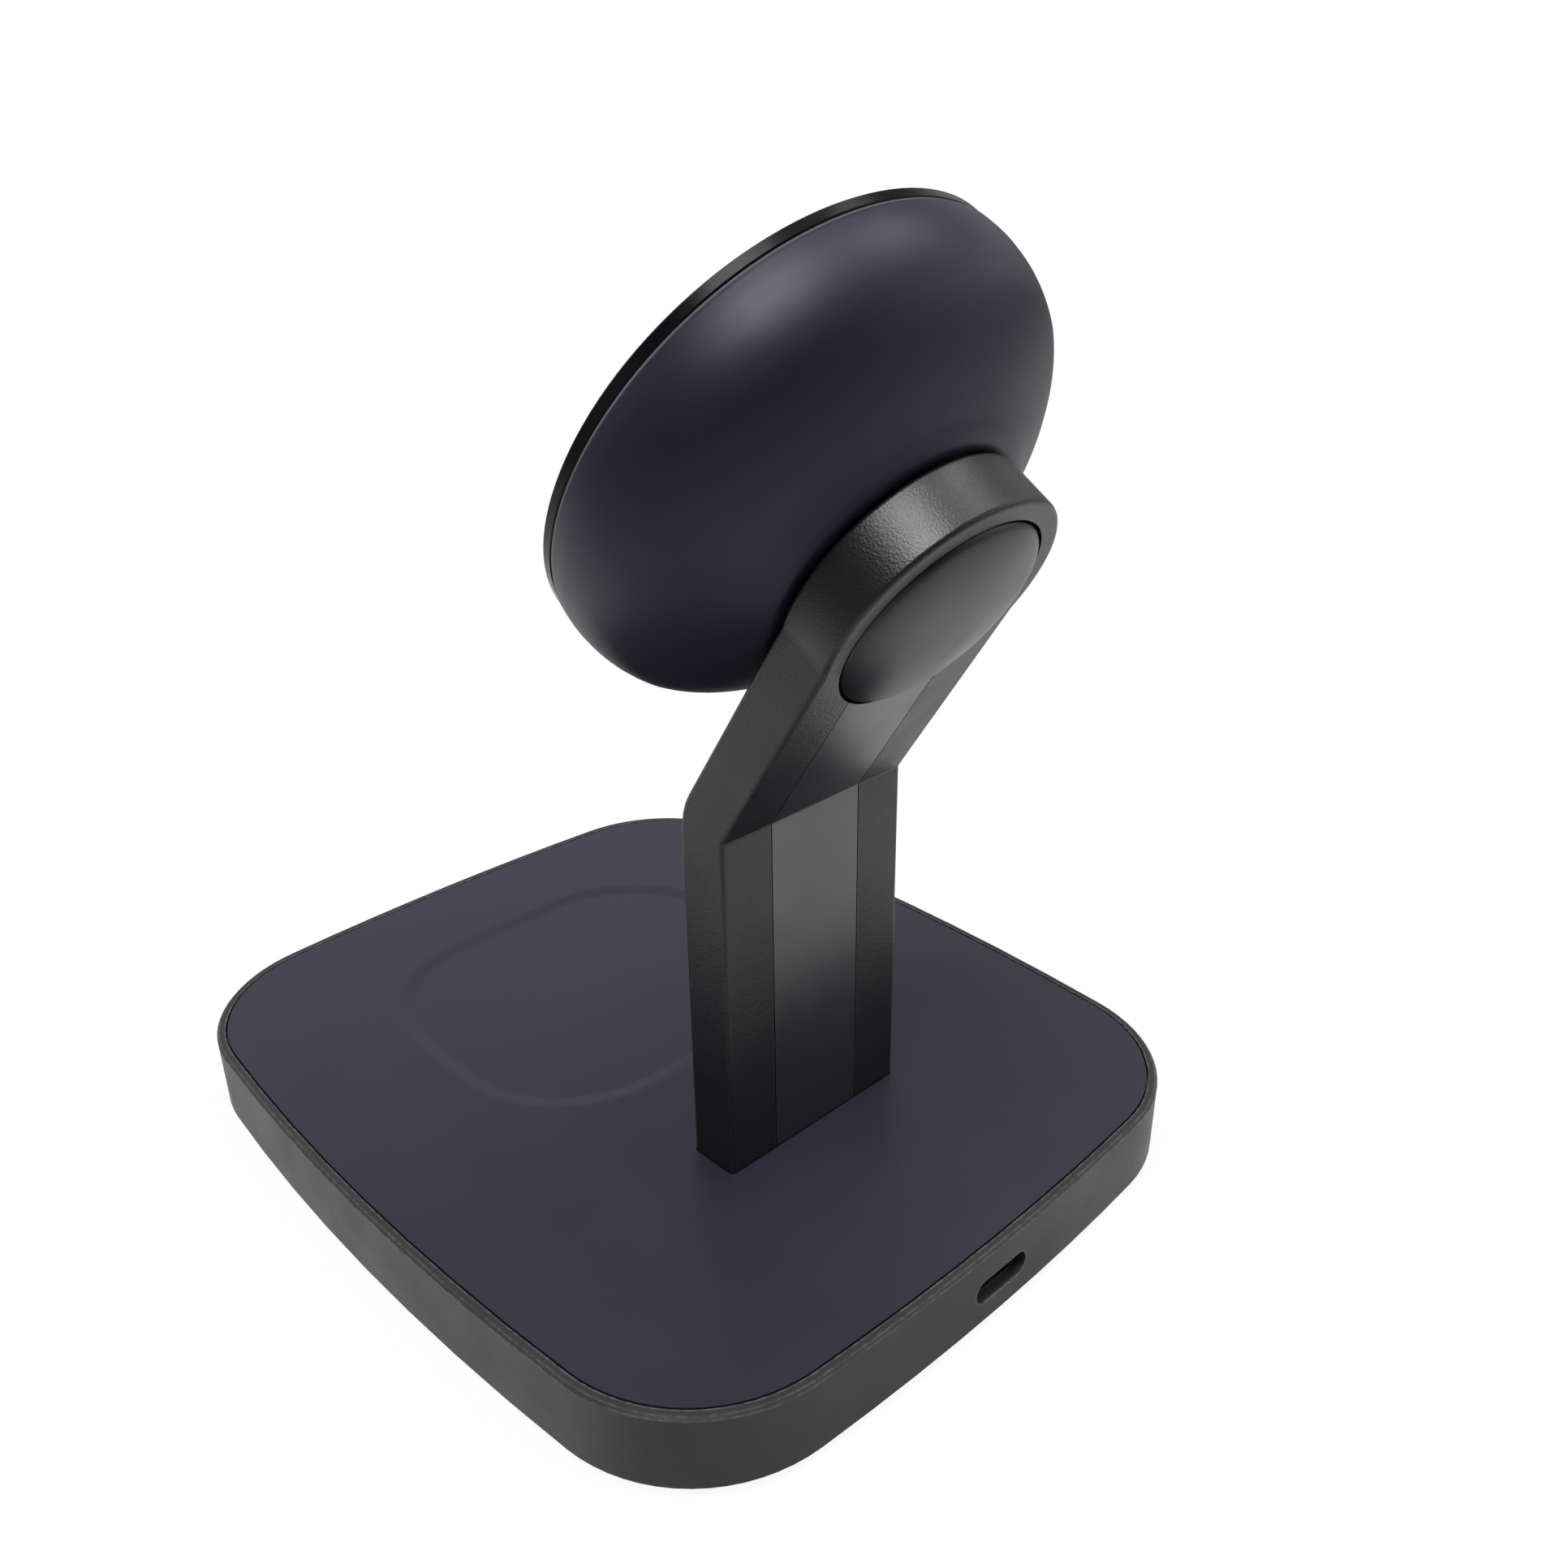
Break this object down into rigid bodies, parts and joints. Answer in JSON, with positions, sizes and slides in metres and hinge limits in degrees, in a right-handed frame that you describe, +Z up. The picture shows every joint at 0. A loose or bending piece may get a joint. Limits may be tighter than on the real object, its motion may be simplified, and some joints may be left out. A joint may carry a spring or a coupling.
{
  "type": "wireless charging stand",
  "caption": "Magnetic charging stand: rounded square base with an earbud dish, a bent arm with a ring at its end, and a round bowl-shaped charging head that turns in the ring.",
  "frame": {"origin": "middle of the base's outline, at the lowest face of the foot ring (the table)", "axes": "+Z up, -Y towards the phone and the user, +Y the rear with the charging socket, +X to the right seen from the front"},
  "size_m": [0.1, 0.117, 0.122],
  "materials": {
    "base_paint": "fine matte dark grey moulded plastic",
    "soft_touch_panel": "soft matte blue-grey sheet",
    "dark_plastic": "plain moulded plastic",
    "foot_rubber": "matte anti-slip rubber",
    "plated_steel": "zinc plated steel",
    "sand_paint": "fine sand textured powder coat on a light alloy casting",
    "cover_paint": "smooth matte coat on an aluminium strip",
    "cap_paint": "smooth satin coat on an aluminium cap",
    "lead_rubber": "flexible insulation",
    "pale_plastic": "natural acetal or nylon",
    "board_laminate": "glass laminate with green resist",
    "chip_plastic": "moulded black resin",
    "ferrite": "sintered ferrite, dark grey and dull",
    "can_metal": "plain drawn cans",
    "socket_steel": "plain stainless steel",
    "copper": "enamelled copper wire",
    "brass": "turned brass",
    "soft_touch_bowl": "soft touch coat, dark navy grey",
    "gloss_black": "polished black",
    "soft_pad": "soft matte pad",
    "magnet_nickel": "nickel plated magnets"
  },
  "bodies": {
    "stand": {"base_shell": "base_paint", "top_panel": "soft_touch_panel", "bottom_plate": "dark_plastic", "foot_ring": "foot_rubber", "ballast_plate": "plated_steel", "base_screws": "plated_steel", "arm_frame": "sand_paint", "arm_screws": "plated_steel", "channel_cover": "cover_paint", "arm_lead": "lead_rubber", "lead_plug": "pale_plastic", "main_board": "board_laminate", "board_screws": "plated_steel", "board_chips": "chip_plastic", "power_inductor": "ferrite", "capacitors": "can_metal", "usb_c_shell": "socket_steel", "usb_c_tongue": "chip_plastic", "earbud_coil": "copper", "earbud_ferrite": "ferrite", "rear_cap": "cap_paint", "thrust_washer": "pale_plastic", "stop_pin": "plated_steel"},
    "head": {"head_spindle": "plated_steel", "spindle_nut": "brass", "flat_washer": "plated_steel", "disc_spring": "plated_steel", "spindle_screws": "plated_steel", "head_shell": "soft_touch_bowl", "rim_ring": "gloss_black", "charging_face": "soft_pad", "coil_carrier": "pale_plastic", "magnet_segments": "magnet_nickel", "magnet_yoke": "plated_steel", "phone_coil": "copper", "coil_ferrite": "ferrite", "head_board": "board_laminate", "head_board_screws": "plated_steel", "head_chips": "chip_plastic", "head_lead": "lead_rubber"}
  },
  "joints": [
    {"name": "head_turn", "type": "hinge", "parent": "stand", "child": "head", "pos_m": [0, 0.04552, 0.08317], "axis": [0, 0.8387, -0.5446], "range_deg": [-90, 90]}
  ]
}
